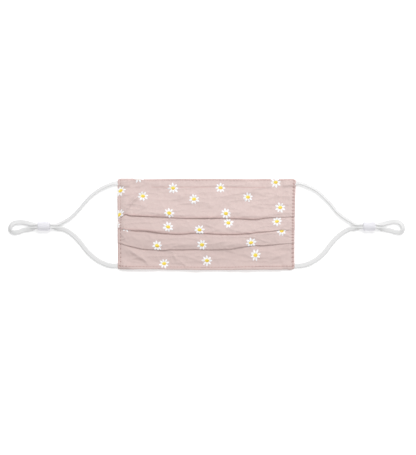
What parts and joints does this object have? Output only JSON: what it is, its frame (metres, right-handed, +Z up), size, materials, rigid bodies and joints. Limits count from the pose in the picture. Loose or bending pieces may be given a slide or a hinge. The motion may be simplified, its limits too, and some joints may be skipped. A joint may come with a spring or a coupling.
{
  "type": "cloth face mask",
  "caption": "Pleated cotton face mask lying flat, with knife pleats facing down and flat elastic ear loops, each run through a soft barrel cord stop.",
  "frame": {"origin": "on the surface the mask lies on, under the middle of the cloth panel", "axes": "+X along the mask from one ear loop to the other, +Y up the worn mask, +Z up out of its face"},
  "size_m": [0.4002, 0.0916, 0.0076],
  "materials": {
    "cotton": "matte woven cotton, dusty pink, with small white daisies",
    "elastic": "white flat knitted elastic with fine ribs",
    "silicone": "soft milky white silicone, low sheen"
  },
  "bodies": {
    "root": {"pleated_panel": "cotton", "ear_loop_left": "elastic", "ear_loop_right": "elastic", "cord_stop_left": "silicone", "cord_stop_right": "silicone"}
  },
  "joints": []
}
